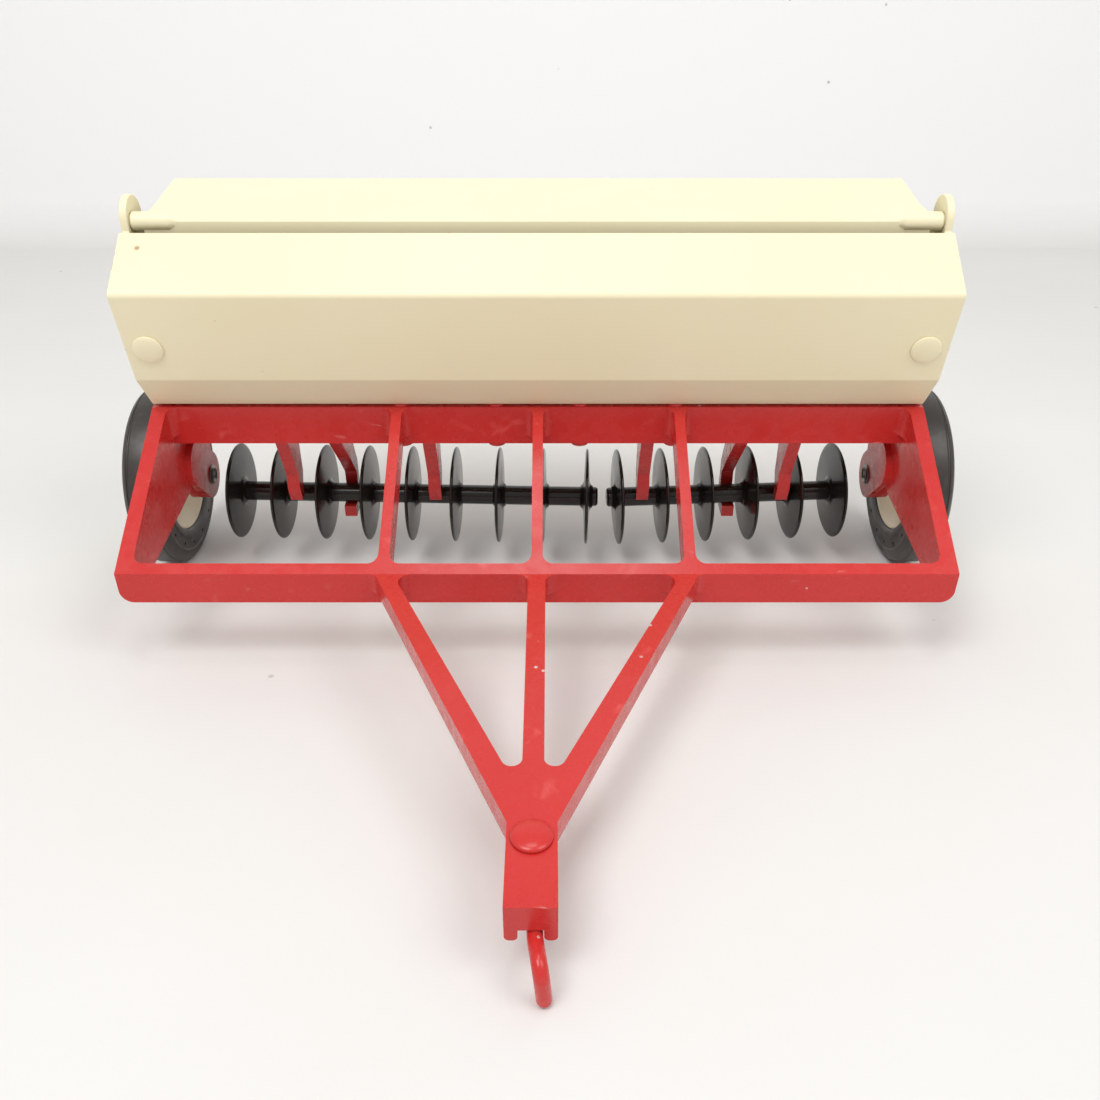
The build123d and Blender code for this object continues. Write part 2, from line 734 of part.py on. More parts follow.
for name, gang, count in (("left", left_gang, left_gang_count), ("right", right_gang, right_gang_count)):
    pieces[f"shaft_{name}"] = make_shaft(gang, count)
    for i in range(count):
        pieces[f"disc_{name}_{i + 1}"] = make_disc(gang, (i - (count - 1) / 2) * disc_pitch)


# ---------------------------------------------------------------- hitch
with BuildPart() as hitch_rivet:
    with BuildSketch(plan(hook_z - hook_rod_r - running_gap)):
        with Locations((0, hitch_rivet_y)):
            Circle(hitch_rivet_r)
    extrude(amount=tongue_top + paint_gap - hook_z + hook_rod_r + running_gap)
    with BuildSketch(plan(tongue_top + paint_gap)):
        with Locations((0, hitch_rivet_y)):
            Circle(hitch_head_r)
    extrude(amount=hitch_head_rise, taper=18)
    with BuildSketch(plan(hook_z - hook_rod_r - running_gap - hitch_tail_rise)):
        with Locations((0, hitch_rivet_y)):
            Circle(hitch_tail_r)
    extrude(amount=hitch_tail_rise)
pieces["hitch_rivet"] = hitch_rivet

# the hook's own plan plane: x to the right of the rod, y back towards the rivet
eye = at(0, hitch_rivet_y, hook_z)
rod_back = towing.y_dir * cos(swing) - towing.x_dir * sin(swing)
hook_plan = Plane(origin=eye, x_dir=rod_back.cross(towing.z_dir), z_dir=towing.z_dir)
with BuildPart() as hitch_hook:
    with BuildSketch(hook_plan.offset(-hook_rod_r)):
        Circle(hook_eye_r)
    extrude(amount=2 * hook_rod_r)
    with BuildLine(hook_plan) as rod_line:
        FilletPolyline(
            (0, -hook_eye_r / 2, 0),
            (0, -hook_kink_reach, 0),
            (hook_kink, -hook_reach, 0),
            (hook_tip_kink, -hook_reach, -hook_tip_drop),
            radius=hook_bend_r,
        )
    with BuildSketch(Plane(origin=rod_line.line @ 0, z_dir=rod_line.line % 0)):
        Circle(hook_rod_r)
    sweep()
    with BuildSketch(hook_plan.offset(-2 * hook_rod_r)):
        Circle(hitch_rivet_r + running_gap)
    extrude(amount=4 * hook_rod_r, mode=Mode.SUBTRACT)
    with Locations(Location(rod_line.line @ 1)):
        Sphere(hook_rod_r)
pieces["hitch_hook"] = hitch_hook


# ---------------------------------------------------------------- files
os.makedirs("parts", exist_ok=True)
for node, piece in pieces.items():
    piece.part.label = node
    export_step(piece.part, f"parts/{node}.step")
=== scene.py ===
"""Toy seed drill: the looks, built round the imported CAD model. Metres, in the frame of the CAD model."""
import json
import math

import bmesh
import bpy
from mathutils import Matrix, Vector


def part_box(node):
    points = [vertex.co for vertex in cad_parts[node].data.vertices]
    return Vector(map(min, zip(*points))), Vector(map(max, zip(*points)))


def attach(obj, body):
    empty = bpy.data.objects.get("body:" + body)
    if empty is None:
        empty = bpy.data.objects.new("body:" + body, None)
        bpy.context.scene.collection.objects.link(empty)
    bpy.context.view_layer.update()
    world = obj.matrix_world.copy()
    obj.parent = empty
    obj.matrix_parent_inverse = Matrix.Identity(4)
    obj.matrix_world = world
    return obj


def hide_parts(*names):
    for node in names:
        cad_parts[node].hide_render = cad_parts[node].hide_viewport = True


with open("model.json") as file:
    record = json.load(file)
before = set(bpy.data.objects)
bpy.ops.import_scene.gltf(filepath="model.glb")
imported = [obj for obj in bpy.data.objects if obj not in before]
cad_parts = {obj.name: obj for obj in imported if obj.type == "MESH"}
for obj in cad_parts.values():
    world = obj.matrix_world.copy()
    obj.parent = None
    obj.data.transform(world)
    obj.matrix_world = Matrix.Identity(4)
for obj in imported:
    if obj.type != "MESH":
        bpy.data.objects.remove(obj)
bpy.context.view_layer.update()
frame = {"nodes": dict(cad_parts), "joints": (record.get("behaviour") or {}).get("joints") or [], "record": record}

MM = 0.001
RIGHT = Vector((1, 0, 0))

# ---------------------------------------------------------------- the leaning frame of the drill
joints = {joint["name"]: joint for joint in frame["joints"]}
AXLE = Vector((0, *joints["left_wheel_spin"]["pos_m"][1:]))
TOW_UP = Vector(joints["hook_swivel"]["axis"])
TOW_BACK = TOW_UP.cross(RIGHT)


# ---------------------------------------------------------------- node helpers
def add(tree, kind, inputs=None, **settings):
    """A new node, its settings, and its inputs: each a value or the output socket to link."""
    made = tree.nodes.new(kind)
    for name, value in settings.items():
        setattr(made, name, value)
    for name, value in (inputs or {}).items():
        if isinstance(value, bpy.types.NodeSocket):
            tree.links.new(value, made.inputs[name])
        else:
            made.inputs[name].default_value = value
    return made


def noise(tree, place, scale, detail=3.0, distortion=0.0):
    values = {"Vector": place, "Scale": scale, "Detail": detail, "Distortion": distortion}
    return add(tree, "ShaderNodeTexNoise", values).outputs["Fac"]


def spots(tree, place, scale):
    """Distance from the nearest of many scattered points."""
    return add(tree, "ShaderNodeTexVoronoi", {"Vector": place, "Scale": scale}).outputs["Distance"]


def between(tree, value, low, high, low_out=0.0, high_out=1.0):
    """The value carried from low..high to low_out..high_out, and held there beyond."""
    inputs = {"Value": value, "From Min": low, "From Max": high, "To Min": low_out, "To Max": high_out}
    return add(tree, "ShaderNodeMapRange", inputs, clamp=True).outputs["Result"]


def math_node(tree, operation, first, second):
    made = add(tree, "ShaderNodeMath", operation=operation)
    for socket, value in zip(made.inputs, (first, second)):
        if isinstance(value, bpy.types.NodeSocket):
            tree.links.new(value, socket)
        else:
            socket.default_value = value
    return made.outputs["Value"]


def mix(tree, share, first, second):
    """Two colours mixed, each a colour or a socket."""
    made = add(tree, "ShaderNodeMix", data_type="RGBA")
    tree.links.new(share, made.inputs["Factor"])
    for name, value in (("A", first), ("B", second)):
        socket = next(s for s in made.inputs if s.name == name and s.type == "RGBA")
        if isinstance(value, bpy.types.NodeSocket):
            tree.links.new(value, socket)
        else:
            socket.default_value = (*value, 1)
    return next(s for s in made.outputs if s.type == "RGBA")


def bump(tree, height, strength, depth, normal=None):
    inputs = {"Height": height, "Strength": strength, "Distance": depth}
    if normal:
        inputs["Normal"] = normal
    return add(tree, "ShaderNodeBump", inputs).outputs["Normal"]


def stretched(tree, place, scale):
    return add(tree, "ShaderNodeMapping", {"Vector": place, "Scale": scale}).outputs["Vector"]


def new_material(name, **values):
    """A material, its node tree, its shader and its object coordinates."""
    material = bpy.data.materials.new(name)
    material.use_nodes = True
    tree = material.node_tree
    shader = tree.nodes["Principled BSDF"]
    for socket, value in values.items():
        shader.inputs[socket.replace("_", " ")].default_value = value
    place = add(tree, "ShaderNodeTexCoord").outputs["Object"]
    return material, tree, shader, place


def edge_share(tree):
    """1 along the rounded edges of a piece and 0 on its flats."""
    return add(tree, "ShaderNodeAttribute", attribute_name="edge").outputs["Fac"]


# ---------------------------------------------------------------- materials
def red_paint():
    """Red enamel over a casting: fine orange peel, chips along the edges, rub marks and pale scuffs."""
    material, tree, shader, place = new_material(
        "red_enamel",
        Specular_IOR_Level=0.35,
        Coat_Weight=0.15,
        Coat_Roughness=0.14,
    )
    body = mix(tree, noise(tree, place, 45, 4), (0.51, 0.021, 0.019), (0.61, 0.034, 0.030))
    # thin paint, where the casting shows through as a lighter red
    rubbed = between(tree, noise(tree, place, 150, 6, 0.6), 0.63, 0.74, 0, 0.50)
    body = mix(tree, rubbed, body, (0.70, 0.11, 0.10))
    fine = noise(tree, place, 620, 5, 0.4)
    patch = noise(tree, place, 70, 2)
    worn = math_node(tree, "MULTIPLY", edge_share(tree), between(tree, patch, 0.46, 0.64))
    chip = between(tree, math_node(tree, "MULTIPLY", worn, fine), 0.50, 0.54)
    speck = between(tree, spots(tree, place, 210), 0.075, 0.10, 1, 0)
    speck = math_node(tree, "MULTIPLY", speck, between(tree, patch, 0.60, 0.66))
    bare = math_node(tree, "MAXIMUM", chip, speck)
    scuff = noise(tree, stretched(tree, place, (95, 420, 420)), 1, 3, 0.8)
    scuff = between(tree, scuff, 0.68, 0.74, 0, 0.5)
    scuff = math_node(tree, "MULTIPLY", scuff, between(tree, patch, 0.50, 0.60))
    body = mix(tree, scuff, body, (0.80, 0.36, 0.33))
    tree.links.new(mix(tree, bare, body, (0.62, 0.50, 0.46)), shader.inputs["Base Color"])
    gloss = between(tree, noise(tree, place, 260, 4), 0.35, 0.7, 0.20, 0.36)
    rough = math_node(tree, "MAXIMUM", gloss, between(tree, bare, 0, 1, 0, 0.5))
    tree.links.new(rough, shader.inputs["Roughness"])
    peel = bump(tree, noise(tree, place, 520, 3), 0.22, 0.05 * MM)
    dent = bump(tree, noise(tree, place, 130, 2), 0.20, 0.22 * MM, peel)
    chipped = bump(tree, bare, 0.5, -0.08 * MM, dent)
    tree.links.new(chipped, shader.inputs["Normal"])
    return material


def cream_paint():
    """Cream enamel on sheet metal: even and half-matt, faintly stained, with a few dark chips."""
    material, tree, shader, place = new_material("cream_enamel", Coat_Weight=0.10, Coat_Roughness=0.30)
    body = mix(tree, noise(tree, place, 22, 4), (0.83, 0.755, 0.50), (0.86, 0.795, 0.565))
    stain = between(tree, noise(tree, place, 95, 5, 0.8), 0.68, 0.80, 0, 0.12)
    body = mix(tree, stain, body, (0.72, 0.52, 0.24))
    rust = between(tree, spots(tree, place, 95), 0.045, 0.085, 0.8, 0)
    rust = math_node(tree, "MULTIPLY", rust, between(tree, noise(tree, place, 40, 1), 0.56, 0.60))
    body = mix(tree, rust, body, (0.40, 0.22, 0.09))
    patch = noise(tree, place, 55, 2)
    fine = noise(tree, place, 420, 4, 0.3)
    worn = math_node(tree, "MULTIPLY", edge_share(tree), between(tree, patch, 0.61, 0.70))
    chip = between(tree, math_node(tree, "MULTIPLY", worn, fine), 0.44, 0.48)
    tree.links.new(mix(tree, chip, body, (0.07, 0.06, 0.055)), shader.inputs["Base Color"])
    gloss = between(tree, noise(tree, place, 120, 4), 0.3, 0.7, 0.38, 0.50)
    tree.links.new(gloss, shader.inputs["Roughness"])
    peel = bump(tree, noise(tree, place, 380, 3), 0.22, 0.06 * MM)
    dent = bump(tree, noise(tree, place, 38, 2), 0.20, 0.5 * MM, peel)
    tree.links.new(bump(tree, chip, 0.4, -0.08 * MM, dent), shader.inputs["Normal"])
    return material


def tyre_rubber():
    """Hard black rubber, dusty in patches and unevenly polished."""
    material, tree, shader, place = new_material("tyre_rubber", Specular_IOR_Level=0.55)
    body = mix(tree, noise(tree, place, 90, 5), (0.026, 0.022, 0.019), (0.043, 0.037, 0.032))
    dust = between(tree, noise(tree, place, 210, 6, 0.5), 0.58, 0.78, 0, 0.22)
    tree.links.new(mix(tree, dust, body, (0.19, 0.165, 0.135)), shader.inputs["Base Color"])
    gloss = between(tree, noise(tree, place, 160, 4), 0.3, 0.7, 0.30, 0.50)
    tree.links.new(gloss, shader.inputs["Roughness"])
    tree.links.new(bump(tree, noise(tree, place, 900, 3), 0.25, 0.06 * MM), shader.inputs["Normal"])
    return material


def rim_plastic():
    """Cream moulded plastic, with grime in it."""
    material, tree, shader, place = new_material("rim_plastic", Subsurface_Weight=0.05)
    shader.inputs["Subsurface Scale"].default_value = 1.0 * MM
    body = mix(tree, noise(tree, place, 60, 4), (0.86, 0.77, 0.55), (0.90, 0.83, 0.61))
    grime = between(tree, noise(tree, place, 180, 6, 0.7), 0.58, 0.76, 0, 0.40)
    tree.links.new(mix(tree, grime, body, (0.36, 0.30, 0.19)), shader.inputs["Base Color"])
    gloss = between(tree, noise(tree, place, 200, 3), 0.3, 0.7, 0.32, 0.48)
    tree.links.new(gloss, shader.inputs["Roughness"])
    tree.links.new(bump(tree, noise(tree, place, 420, 3), 0.18, 0.06 * MM), shader.inputs["Normal"])
    return material


def black_plastic():
    """Glossy black moulding with dust and fine scratches."""
    material, tree, shader, place = new_material("black_plastic", Specular_IOR_Level=0.4)
    body = mix(tree, noise(tree, place, 80, 4), (0.009, 0.0075, 0.006), (0.015, 0.0125, 0.010))
    dust = between(tree, noise(tree, place, 240, 7, 0.6), 0.58, 0.80, 0, 0.08)
    tree.links.new(mix(tree, dust, body, (0.16, 0.145, 0.12)), shader.inputs["Base Color"])
    gloss = between(tree, noise(tree, place, 110, 5), 0.3, 0.7, 0.13, 0.24)
    tree.links.new(gloss, shader.inputs["Roughness"])
    scratches = noise(tree, stretched(tree, place, (260, 1500, 1500)), 1, 4)
    tree.links.new(bump(tree, scratches, 0.12, 0.03 * MM), shader.inputs["Normal"])
    return material


def dark_steel():
    """Rivet steel, darkened and turned."""
    material, tree, shader, place = new_material("dark_steel", Metallic=1.0)
    body = mix(tree, noise(tree, place, 300, 5), (0.16, 0.15, 0.14), (0.34, 0.32, 0.30))
    tree.links.new(body, shader.inputs["Base Color"])
    gloss = between(tree, noise(tree, place, 420, 4), 0.3, 0.7, 0.26, 0.50)
    tree.links.new(gloss, shader.inputs["Roughness"])
    tree.links.new(bump(tree, noise(tree, place, 1400, 2), 0.3, 0.05 * MM), shader.inputs["Normal"])
    return material


MATERIALS = {
    "red_paint": red_paint(),
    "cream_paint": cream_paint(),
    "tyre": tyre_rubber(),
    "rim": rim_plastic(),
    "black_plastic": black_plastic(),
    "steel": dark_steel(),
}
slot_of = {row["node"]: row["material_slot"] for row in frame["record"]["subparts"]}
body_of = {node: body for body, nodes in frame["record"]["behaviour"]["bodies"].items() for node in nodes}


# ---------------------------------------------------------------- mesh helpers
def place_piece(bm, node, suffix):
    """Makes the mesh a piece that stands for the CAD node, with the node's body, slot and material."""
    bmesh.ops.recalc_face_normals(bm, faces=bm.faces)
    mesh = bpy.data.meshes.new(f"{node}_{suffix}")
    bm.to_mesh(mesh)
    bm.free()
    mesh.shade_smooth()
    mesh.materials.append(MATERIALS[slot_of[node]])
    piece = bpy.data.objects.new(f"{node}_{suffix}", mesh)
    bpy.context.scene.collection.objects.link(piece)
    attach(piece, body_of[node])
    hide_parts(node)
    return piece


def cad_mesh(node):
    """The node's own shape, welded, with its flats made whole again."""
    bm = bmesh.new()
    bm.from_mesh(frame["nodes"][node].data)
    bmesh.ops.remove_doubles(bm, verts=bm.verts, dist=0.001 * MM)
    bmesh.ops.dissolve_limit(bm, angle_limit=0.006, verts=bm.verts, edges=bm.edges, delimit={"NORMAL"})
    return bm


def soften(bm, radius, steps=3, sharpest=math.radians(26)):
    """Rounds the sharp edges, and marks what is rounded in the layer "edge"."""
    layer = bm.faces.layers.float.new("edge")
    edges = [e for e in bm.edges if len(e.link_faces) == 2 and e.calc_face_angle() > sharpest]
    rounded = bmesh.ops.bevel(
        bm,
        geom=edges,
        offset=radius,
        offset_type="OFFSET",
        segments=steps,
        profile=0.5,
        affect="EDGES",
        clamp_overlap=True,
        loop_slide=True,
    )
    for face in rounded["faces"]:
        face[layer] = 1.0


def weighted_normals(piece):
    """Keeps the flats flat beside their rounded edges."""
    piece.modifiers.new("flat_faces", "WEIGHTED_NORMAL").keep_sharp = True


def softened_piece(node, radius, steps=3):
    bm = cad_mesh(node)
    soften(bm, radius, steps)
    piece = place_piece(bm, node, "softened")
    weighted_normals(piece)
    return piece


def round_corners(points, radius, steps=4):
    """A closed outline of (along, out) points with each corner turned into an arc."""
    outline = []
    for i, corner in enumerate(points):
        corner = Vector(corner)
        before = Vector(points[i - 1]) - corner
        after = Vector(points[(i + 1) % len(points)]) - corner
        reach = min(radius, before.length * 0.49, after.length * 0.49)
        start = corner + before.normalized() * reach
        end = corner + after.normalized() * reach
        for k in range(steps + 1):
            t = k / steps
            outline.append((1 - t) ** 2 * start + 2 * t * (1 - t) * corner + t * t * end)
    return outline


def lathe(outline, origin, axis, turns=96):
    """The closed outline of (along, out) points turned about the axis."""
    axis = Vector(axis).normalized()
    first = axis.orthogonal().normalized()
    second = axis.cross(first)
    bm = bmesh.new()
    rings = []
    for k in range(turns):
        angle = 2 * math.pi * k / turns
        out = first * math.cos(angle) + second * math.sin(angle)
        rings.append([bm.verts.new(Vector(origin) + axis * p[0] + out * p[1]) for p in outline])
    for k in range(turns):
        here, there = rings[k], rings[(k + 1) % turns]
        for i in range(len(outline)):
            j = (i + 1) % len(outline)
            bm.faces.new((here[i], here[j], there[j], there[i]))
    bmesh.ops.remove_doubles(bm, verts=bm.verts, dist=0.001 * MM)
    return bm


# ---------------------------------------------------------------- castings and sheets
EDGE_RADII = {
    "frame_casting": 0.6,
    "hopper_front": 0.25,
    "hopper_back": 0.25,
    "hopper_floor": 0.25,
    "hopper_end_left": 0.35,
    "hopper_end_right": 0.35,
    "lid": 0.3,
    "hitch_hook": 0.3,
}
for name, radius in EDGE_RADII.items():
    softened_piece(name, radius * MM)


# ---------------------------------------------------------------- wheels
def span(node, origin, axis):
    """How far the node reaches along the axis, to each side of the origin."""
    along = [(v.co - origin).dot(axis) for v in frame["nodes"][node].data.vertices]
    return min(along), max(along)


def radius_about(node, origin, axis):
    """The node's largest distance from the axis."""
    return max((v.co - origin).cross(axis).length for v in frame["nodes"][node].data.vertices)


DOTS = 16                     # small holes round each side wall
DOT_CIRCLE = 0.801            # of the tyre's radius
DOT_RADIUS = 0.50 * MM
DOT_DEPTH = 0.5 * MM
WALL_RECESS = 0.28 * MM       # the side wall lies this deep between its bead and its shoulder


def tyre_outline(half, outer, inner):
    """Tread band between two grooves, round shoulders, and a side wall sunk behind its bead."""
    side = [
        (0.50, 0.0),
        (0.53, -0.42),
        (0.62, -0.46),
        (0.65, -0.20),
        (0.83, -0.75),
        (0.96, -1.75),
        (1.00, -2.9),
        (1.00, -3.5),
    ]
    right = [(half * share, outer + drop * MM) for share, drop in side]
    right += [
        (half - WALL_RECESS, outer - 3.9 * MM),
        (half - WALL_RECESS, inner + 2.9 * MM),
        (half, inner + 2.5 * MM),
        (half, inner + 1.4 * MM),
        (half * 0.93, inner + 0.35 * MM),
        (half * 0.86, inner),
    ]
    left = [(-along, out) for along, out in reversed(right)]
    return round_corners(right + left, 0.55 * MM, 3)


def dot_cutter(middle, half, outer):
    """The pins that bore the small holes into both side walls."""
    bm = bmesh.new()
    for side in (-1, 1):
        for k in range(DOTS):
            angle = 2 * math.pi * (k + 0.5) / DOTS
            out = DOT_CIRCLE * outer
            reach = half - WALL_RECESS
            spot = middle + RIGHT * side * reach + Vector((0, out * math.cos(angle), out * math.sin(angle)))
            bmesh.ops.create_cone(
                bm,
                cap_ends=True,
                segments=14,
                radius1=DOT_RADIUS,
                radius2=DOT_RADIUS,
                depth=2 * DOT_DEPTH,
                matrix=Matrix.Translation(spot) @ Matrix.Rotation(math.pi / 2, 4, "Y"),
            )
    mesh = bpy.data.meshes.new("dot_cutter")
    bm.to_mesh(mesh)
    bm.free()
    cutter = bpy.data.objects.new("dot_cutter", mesh)
    bpy.context.scene.collection.objects.link(cutter)
    return cutter


def cut(piece, cutter):
    """Bores the cutter's shape out of the piece, for good."""
    boring = piece.modifiers.new("bores", "BOOLEAN")
    boring.object = cutter
    boring.solver = "EXACT"
    graph = bpy.context.evaluated_depsgraph_get()
    bored = bpy.data.meshes.new_from_object(piece.evaluated_get(graph))
    piece.modifiers.clear()
    piece.data = bored
    bpy.data.objects.remove(cutter)


def sharp_by_angle(piece, degrees):
    """Smooth shading with creases above this angle."""
    piece.data.shade_smooth()
    piece.data.set_sharp_from_angle(angle=math.radians(degrees))


def make_tyre(node):
    low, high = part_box(node)
    middle = (low + high) / 2
    half = (high.x - low.x) / 2
    outer = radius_about(node, middle, RIGHT)
    inner = radius_about(node.replace("tyre", "rim"), middle, RIGHT) + 0.05 * MM
    bm = lathe(tyre_outline(half, outer, inner), middle, RIGHT, 112)
    tyre = place_piece(bm, node, "moulded")
    cut(tyre, dot_cutter(middle, half, outer))
    sharp_by_angle(tyre, 40)


def make_rim(node):
    """A dished wheel: rounded lip, sloping wall, flat web with a raised ring, and the hub."""
    low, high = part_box(node)
    out = RIGHT * (1 if low.x > 0 else -1)
    tyre_low, tyre_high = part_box(node.replace("rim", "tyre"))
    middle = (tyre_low + tyre_high) / 2
    radius = radius_about(node, middle, RIGHT)
    hub_in, hub_out = span(node, middle, out)
    lip = 4.4 * MM
    points = [
        (lip, radius),
        (lip, radius - 1.0 * MM),
        (lip - 1.1 * MM, radius - 2.1 * MM),
        (1.9 * MM, radius - 3.9 * MM),
        (1.9 * MM, 8.6 * MM),
        (1.2 * MM, 8.0 * MM),
        (1.2 * MM, 5.7 * MM),
        (hub_out - 0.5 * MM, 5.2 * MM),
        (hub_out, 4.7 * MM),
        (hub_out, 2.46 * MM),
        (hub_in, 2.46 * MM),
        (hub_in, 4.7 * MM),
        (hub_in + 0.5 * MM, 5.2 * MM),
        (-1.3 * MM, 5.7 * MM),
        (-1.3 * MM, radius - 4.6 * MM),
        (-lip + 1.1 * MM, radius - 2.1 * MM),
        (-lip, radius - 1.0 * MM),
        (-lip, radius),
    ]
    place_piece(lathe(round_corners(points, 0.6 * MM), middle, out), node, "moulded")


def make_axle(node):
    """Domed rivet head outside the wheel, rolled hollow end inside the frame's boss."""
    out = RIGHT * (1 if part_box(node)[0].x > 0 else -1)
    tail, top = span(node, AXLE, out)
    head_radius = radius_about(node, AXLE, RIGHT)
    head = top - 1.7 * MM
    points = [
        (tail + 1.6 * MM, 0.0),
        (tail + 1.6 * MM, 1.35 * MM),
        (tail, 1.75 * MM),
        (tail, 2.6 * MM),
        (tail + 0.7 * MM, 3.1 * MM),
        (tail + 0.7 * MM, 2.4 * MM),
        (head, 2.4 * MM),
        (head, head_radius),
        (head + 0.5 * MM, head_radius),
        (head + 1.25 * MM, head_radius * 0.72),
        (top, head_radius * 0.35),
        (top, 0.0),
    ]
    place_piece(lathe(round_corners(points, 0.45 * MM, 3), AXLE, out, 64), node, "turned")


for side in ("left", "right"):
    make_tyre(f"tyre_{side}")
    make_rim(f"rim_{side}")
    make_axle(f"axle_{side}")


# ---------------------------------------------------------------- disc gangs
SHAFT_RADIUS = 2.9 * MM
COLLAR_RADIUS = 3.4 * MM
COLLAR_HALF = 1.9 * MM


def make_shaft(node, origin, axis):
    start, end = span(node, origin, axis)
    chamfer = 0.5 * MM
    points = [
        (start, 0.0),
        (start, SHAFT_RADIUS - chamfer),
        (start + chamfer, SHAFT_RADIUS),
        (end - chamfer, SHAFT_RADIUS),
        (end, SHAFT_RADIUS - chamfer),
        (end, 0.0),
    ]
    place_piece(lathe(round_corners(points, 0.3 * MM, 3), origin, axis, 48), node, "turned")


def make_disc(node, origin, axis):
    """A thin disc with a bevelled rim and a short collar on each side."""
    start, end = span(node, origin, axis)
    middle = origin + axis * (start + end) / 2
    radius = radius_about(node, origin, axis)
    bore = SHAFT_RADIUS + 0.03 * MM
    right = [
        (0.22 * MM, radius),
        (0.48 * MM, radius - 0.75 * MM),
        (0.85 * MM, 4.6 * MM),
        (1.20 * MM, 3.75 * MM),
        (COLLAR_HALF - 0.2 * MM, COLLAR_RADIUS),
        (COLLAR_HALF, COLLAR_RADIUS - 0.2 * MM),
        (COLLAR_HALF, bore),
    ]
    left = [(-along, out) for along, out in reversed(right)]
    place_piece(lathe(round_corners(right + left, 0.35 * MM, 3), middle, axis, 88), node, "moulded")


for side in ("left", "right"):
    joint = joints[f"{side}_gang_spin"]
    gang_origin, gang_axis = Vector(joint["pos_m"]), Vector(joint["axis"])
    for name in frame["record"]["behaviour"]["bodies"][f"{side}_gang"]:
        make = make_shaft if name.startswith("shaft") else make_disc
        make(name, gang_origin, gang_axis)


# ---------------------------------------------------------------- rivets
HITCH_HEAD_RISE = 1.4 * MM
HITCH_TAIL_RISE = 0.8 * MM
HITCH_TAIL_RADIUS = 1.9 * MM
HITCH_SHANK_RADIUS = 0.95 * MM
HOPPER_HEAD_RISE = 1.0 * MM
HOPPER_SHANK_RADIUS = 1.6 * MM


def dome(base, radius, rise, steps=9):
    """A low round head, from its edge to its middle: a short upright edge, then one arc."""
    edge = rise * 0.28
    points = [(base, radius), (base + edge, radius)]
    for k in range(1, steps + 1):
        turn = math.pi / 2 * k / steps
        points.append((base + edge + (rise - edge) * math.sin(turn), radius * math.cos(turn) ** 0.9))
    return points


def make_hitch_rivet(node):
    origin = Vector(joints["hook_swivel"]["pos_m"])
    bottom, top = span(node, origin, TOW_UP)
    shank_top = top - HITCH_HEAD_RISE
    points = [
        (bottom, 0.0),
        (bottom, HITCH_TAIL_RADIUS),
        (bottom + HITCH_TAIL_RISE, HITCH_TAIL_RADIUS),
        (bottom + HITCH_TAIL_RISE, HITCH_SHANK_RADIUS),
        (shank_top, HITCH_SHANK_RADIUS),
    ]
    outline = points + dome(shank_top, radius_about(node, origin, TOW_UP), HITCH_HEAD_RISE)
    place_piece(lathe([Vector(p) for p in outline], origin, TOW_UP, 72), node, "headed")


def make_hopper_rivet(node):
    """The rivet's line comes from the largest flat of its CAD shape, which is square to it."""
    bm = cad_mesh(node)
    flat = max(bm.faces, key=lambda face: face.calc_area())
    axis = -flat.normal if flat.normal.y > 0 else flat.normal.copy()
    rim = [v.co.copy() for v in bm.verts]
    bm.free()
    low = min(co.dot(axis) for co in rim)
    shank_end = [co for co in rim if co.dot(axis) < low + 0.01 * MM]
    origin = sum(shank_end, Vector()) / len(shank_end)
    bottom, top = span(node, origin, axis)
    shank_top = top - HOPPER_HEAD_RISE
    points = [(bottom, 0.0), (bottom, HOPPER_SHANK_RADIUS), (shank_top, HOPPER_SHANK_RADIUS)]
    outline = points + dome(shank_top, radius_about(node, origin, axis), HOPPER_HEAD_RISE)
    place_piece(lathe([Vector(p) for p in outline], origin, axis, 72), node, "headed")


make_hitch_rivet("hitch_rivet")
make_hopper_rivet("hopper_rivet_left")
make_hopper_rivet("hopper_rivet_right")


# ---------------------------------------------------------------- stage, light and camera
STAGE_HALF = 3.0
FOLD_Y = AXLE.y + 0.50            # where the floor turns up into the backdrop
BACKDROP_HEIGHT = 2.0
FOLD_RADIUS = 0.03


def stage_material():
    material, tree, shader, place = new_material("pale_stage", Roughness=0.9)
    body = mix(tree, noise(tree, place, 9, 4), (0.71, 0.70, 0.68), (0.76, 0.755, 0.74))
    height = add(tree, "ShaderNodeSeparateXYZ", {"Vector": place}).outputs["Z"]
    body = mix(tree, between(tree, height, 0.0, FOLD_RADIUS), body, (0.93, 0.93, 0.93))
    speck = between(tree, spots(tree, place, 26), 0.020, 0.034, 0.55, 0)
    tree.links.new(mix(tree, speck, body, (0.22, 0.20, 0.19)), shader.inputs["Base Color"])
    weave = noise(tree, place, 700, 2)
    tree.links.new(bump(tree, weave, 0.15, 0.2 * MM), shader.inputs["Normal"])
    return material


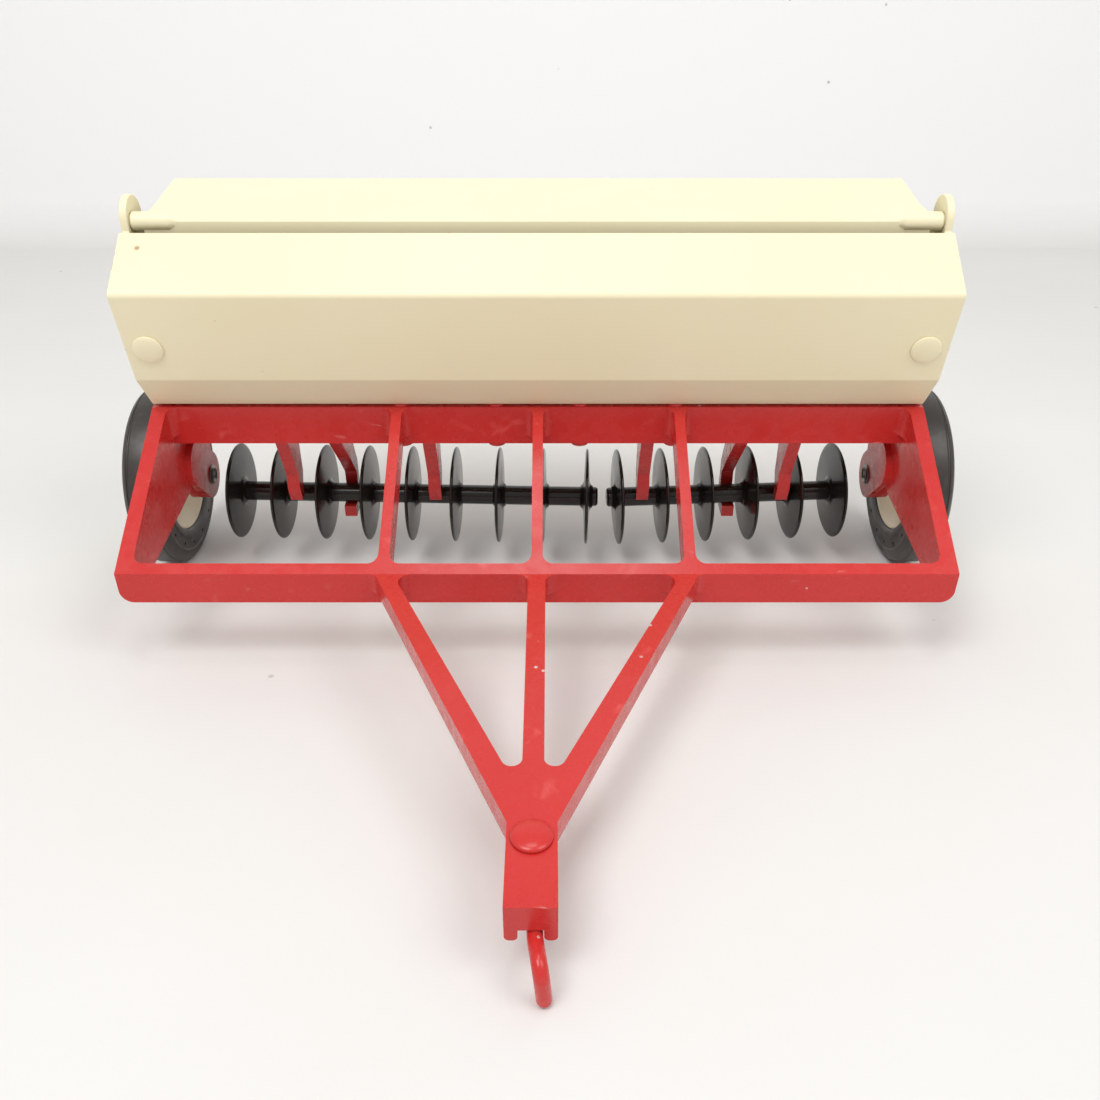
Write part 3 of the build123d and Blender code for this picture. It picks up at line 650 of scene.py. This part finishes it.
def make_stage():
    """Floor and backdrop in one sheet, with a rounded fold."""
    line = [(-STAGE_HALF, 0.0)]
    for k in range(9):
        angle = math.pi / 2 * k / 8
        y = FOLD_Y - FOLD_RADIUS + FOLD_RADIUS * math.sin(angle)
        line.append((y, FOLD_RADIUS * (1 - math.cos(angle))))
    line.append((FOLD_Y, BACKDROP_HEIGHT))
    bm = bmesh.new()
    left = [bm.verts.new((-STAGE_HALF, y, z)) for y, z in line]
    right = [bm.verts.new((STAGE_HALF, y, z)) for y, z in line]
    for i in range(len(line) - 1):
        bm.faces.new((left[i], right[i], right[i + 1], left[i + 1]))
    mesh = bpy.data.meshes.new("stage")
    bm.to_mesh(mesh)
    bm.free()
    mesh.shade_smooth()
    mesh.materials.append(stage_material())
    stage = bpy.data.objects.new("stage", mesh)
    bpy.context.scene.collection.objects.link(stage)


LIT_SPOT = (0, 0.02, 0.03)
LIGHTS = (
    # name, place, what it is aimed at, size, watts
    ("key", (-0.30, -0.45, 0.9), LIT_SPOT, 0.5, 4.4),
    ("fill", (0.5, -0.35, 0.75), LIT_SPOT, 0.5, 2.2),
    ("overhead", (0, -0.05, 0.9), (0, 0.0, 0.03), 0.30, 0.9),
)


def make_light(name, place, aim, size, watts):
    data = bpy.data.lights.new(name, "AREA")
    data.shape = "DISK"
    data.size = size
    data.energy = watts
    light = bpy.data.objects.new(name, data)
    light.location = place
    light.rotation_euler = (Vector(aim) - Vector(place)).to_track_quat("-Z", "Y").to_euler()
    bpy.context.scene.collection.objects.link(light)


CAMERA_LENS = 33.71               # mm, on a 36 mm sensor
CAMERA_PLACE = (0.0033, AXLE.y - 0.2896, 0.1510)
CAMERA_TILT = 62.55               # degrees up from looking straight down


def make_camera():
    data = bpy.data.cameras.new("camera")
    data.sensor_width = 36
    data.lens = CAMERA_LENS
    camera = bpy.data.objects.new("camera", data)
    camera.location = CAMERA_PLACE
    camera.rotation_euler = (math.radians(CAMERA_TILT), 0, 0)
    bpy.context.scene.collection.objects.link(camera)
    bpy.context.scene.camera = camera


def make_world():
    world = bpy.data.worlds.new("studio")
    world.use_nodes = True
    background = world.node_tree.nodes["Background"]
    background.inputs["Color"].default_value = (1.0, 0.992, 0.98, 1)
    background.inputs["Strength"].default_value = 0.62
    bpy.context.scene.world = world


make_stage()
make_world()
for light in LIGHTS:
    make_light(*light)
make_camera()
bpy.context.scene.view_settings.view_transform = "Standard"
